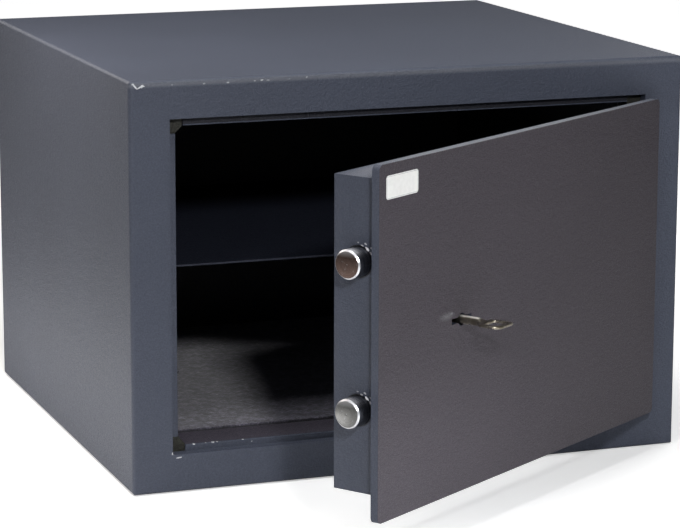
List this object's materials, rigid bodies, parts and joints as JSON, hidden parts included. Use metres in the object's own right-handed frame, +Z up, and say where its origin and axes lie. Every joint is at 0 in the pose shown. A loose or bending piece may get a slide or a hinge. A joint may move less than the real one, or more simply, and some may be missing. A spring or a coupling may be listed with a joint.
{
  "type": "safe deposit box",
  "caption": "Small double-walled steel safe with a hinged door, round locking bolts, a lever lock with its key, an inner shelf and a floor mat.",
  "frame": {"origin": "middle of the underside of the body", "axes": "+Z up, the door faces -Y, +X is to the right as one faces the door"},
  "size_m": [0.43, 0.6068, 0.3],
  "materials": {
    "paint": "fine textured anthracite powder coat",
    "dark_paint": "matt dark grey paint",
    "zinc": "zinc plated steel",
    "bright": "turned bright steel",
    "board": "pale pressed board",
    "felt": "needled felt",
    "brass": "satin brass",
    "nickel": "worn nickel plate"
  },
  "bodies": {
    "safe_body": {"outer_shell": "paint", "back_panel": "paint", "stop_left": "paint", "stop_right": "paint", "stop_top": "paint", "stop_sill": "paint", "corner_gussets": "dark_paint", "liner": "dark_paint", "left_filling": "board", "right_filling": "board", "roof_filling": "board", "floor_filling": "board", "back_filling": "board", "base_sleeves": "zinc", "back_sleeves": "zinc", "shelf": "dark_paint", "shelf_rail_left": "dark_paint", "shelf_rail_right": "dark_paint", "floor_mat": "felt", "upper_hinge_ears": "dark_paint", "lower_hinge_ears": "dark_paint", "upper_hinge_pin": "zinc", "lower_hinge_pin": "zinc", "hinge_washers": "brass"},
    "door": {"door_plate": "paint", "door_case": "paint", "case_cover": "paint", "cover_screws": "zinc", "upper_hinge_arm": "dark_paint", "lower_hinge_arm": "dark_paint", "upper_bolt_guide": "zinc", "lower_bolt_guide": "zinc", "lock_case": "zinc", "lock_mid_plate": "zinc", "lock_cover": "zinc", "lock_spacers": "zinc", "lock_screws": "zinc", "lock_levers": "brass", "lever_post": "zinc", "lever_springs": "brass", "guide_posts": "zinc"},
    "boltwork": {"upper_bolt": "bright", "lower_bolt": "bright", "bolt_bar": "zinc", "bolt_screws": "zinc", "lock_bolt": "zinc", "lock_bolt_screws": "zinc"},
    "rotor": {"lock_rotor": "brass"},
    "key": {"key": "nickel"}
  },
  "joints": [
    {"name": "door_hinge", "type": "hinge", "parent": "safe_body", "child": "door", "pos_m": [0.2047, -0.1854, 0.15], "axis": [0, 0, 1], "range_deg": [-34.3, 75.7]},
    {"name": "rotor_turn", "type": "hinge", "parent": "door", "child": "rotor", "pos_m": [-0.0288, -0.3563, 0.151], "axis": [-0.5635, 0.8261, 0], "range_deg": [0, 180]},
    {"name": "boltwork_slide", "type": "slide", "parent": "door", "child": "boltwork", "axis": [0.8261, 0.5635, 0], "range_m": [0, 0.014]},
    {"name": "key_withdrawal", "type": "slide", "parent": "rotor", "child": "key", "axis": [0.5635, -0.8261, 0], "range_m": [0, 0.04]}
  ],
  "couplings": [
    {"joint": "rotor_turn", "follows": "boltwork_slide", "rad_per_m": 224.4}
  ]
}
